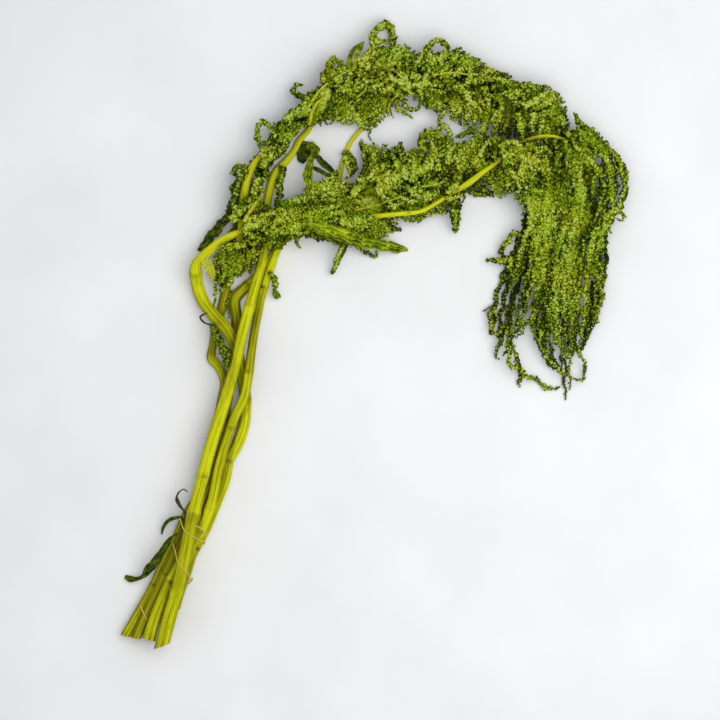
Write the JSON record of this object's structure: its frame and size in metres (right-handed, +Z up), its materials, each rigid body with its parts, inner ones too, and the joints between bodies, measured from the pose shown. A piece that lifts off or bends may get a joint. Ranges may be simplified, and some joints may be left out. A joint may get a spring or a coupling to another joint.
{
  "type": "hanging amaranth bunch",
  "caption": "Tied bunch of dried hanging amaranth lying flat, with ribbed stems, an arched crown of tasselled florets and long drooping strands.",
  "frame": {"origin": "on the surface it lies on, under the middle of its bounding box", "axes": "+Y along the stems from the cut ends towards the crown, +X the way the heads arch over, +Z up from the surface"},
  "size_m": [0.4578, 0.5623, 0.0441],
  "materials": {
    "lime_stem": "dyed lime green, ribbed and dry",
    "olive_stem": "dyed olive green, ribbed and dry",
    "left_florets": "matt, dense small florets, dark green",
    "outer_florets": "matt, dense small florets, mid green",
    "low_florets": "matt, dense small florets, yellow green",
    "inner_florets": "matt, dense small florets, bright green",
    "right_florets": "matt, dense small florets, mid green",
    "tassel_florets": "matt, small florets, dark green",
    "dry_leaf": "crinkled and dry, dark green",
    "shrivelled_stalk": "dry, near black green",
    "straw_thread": "natural straw fibre, yellow"
  },
  "bodies": {
    "root": {"main_stalk": "lime_stem", "right_stalk": "lime_stem", "arched_stalk": "lime_stem", "left_stalk": "olive_stem", "kinked_stalk": "olive_stem", "left_head": "left_florets", "outer_head": "outer_florets", "low_head": "low_florets", "inner_head": "inner_florets", "right_head": "right_florets", "side_tassel": "tassel_florets", "under_tassel": "tassel_florets", "leaf_base_long": "dry_leaf", "leaf_base_curled": "dry_leaf", "leaf_left": "dry_leaf", "leaf_curled": "dry_leaf", "leaf_fork": "dry_leaf", "leaf_low": "dry_leaf", "leaf_dark": "dry_leaf", "leaf_top": "dry_leaf", "lower_twig": "shrivelled_stalk", "upper_twig": "shrivelled_stalk", "tie_thread": "straw_thread"}
  },
  "joints": []
}
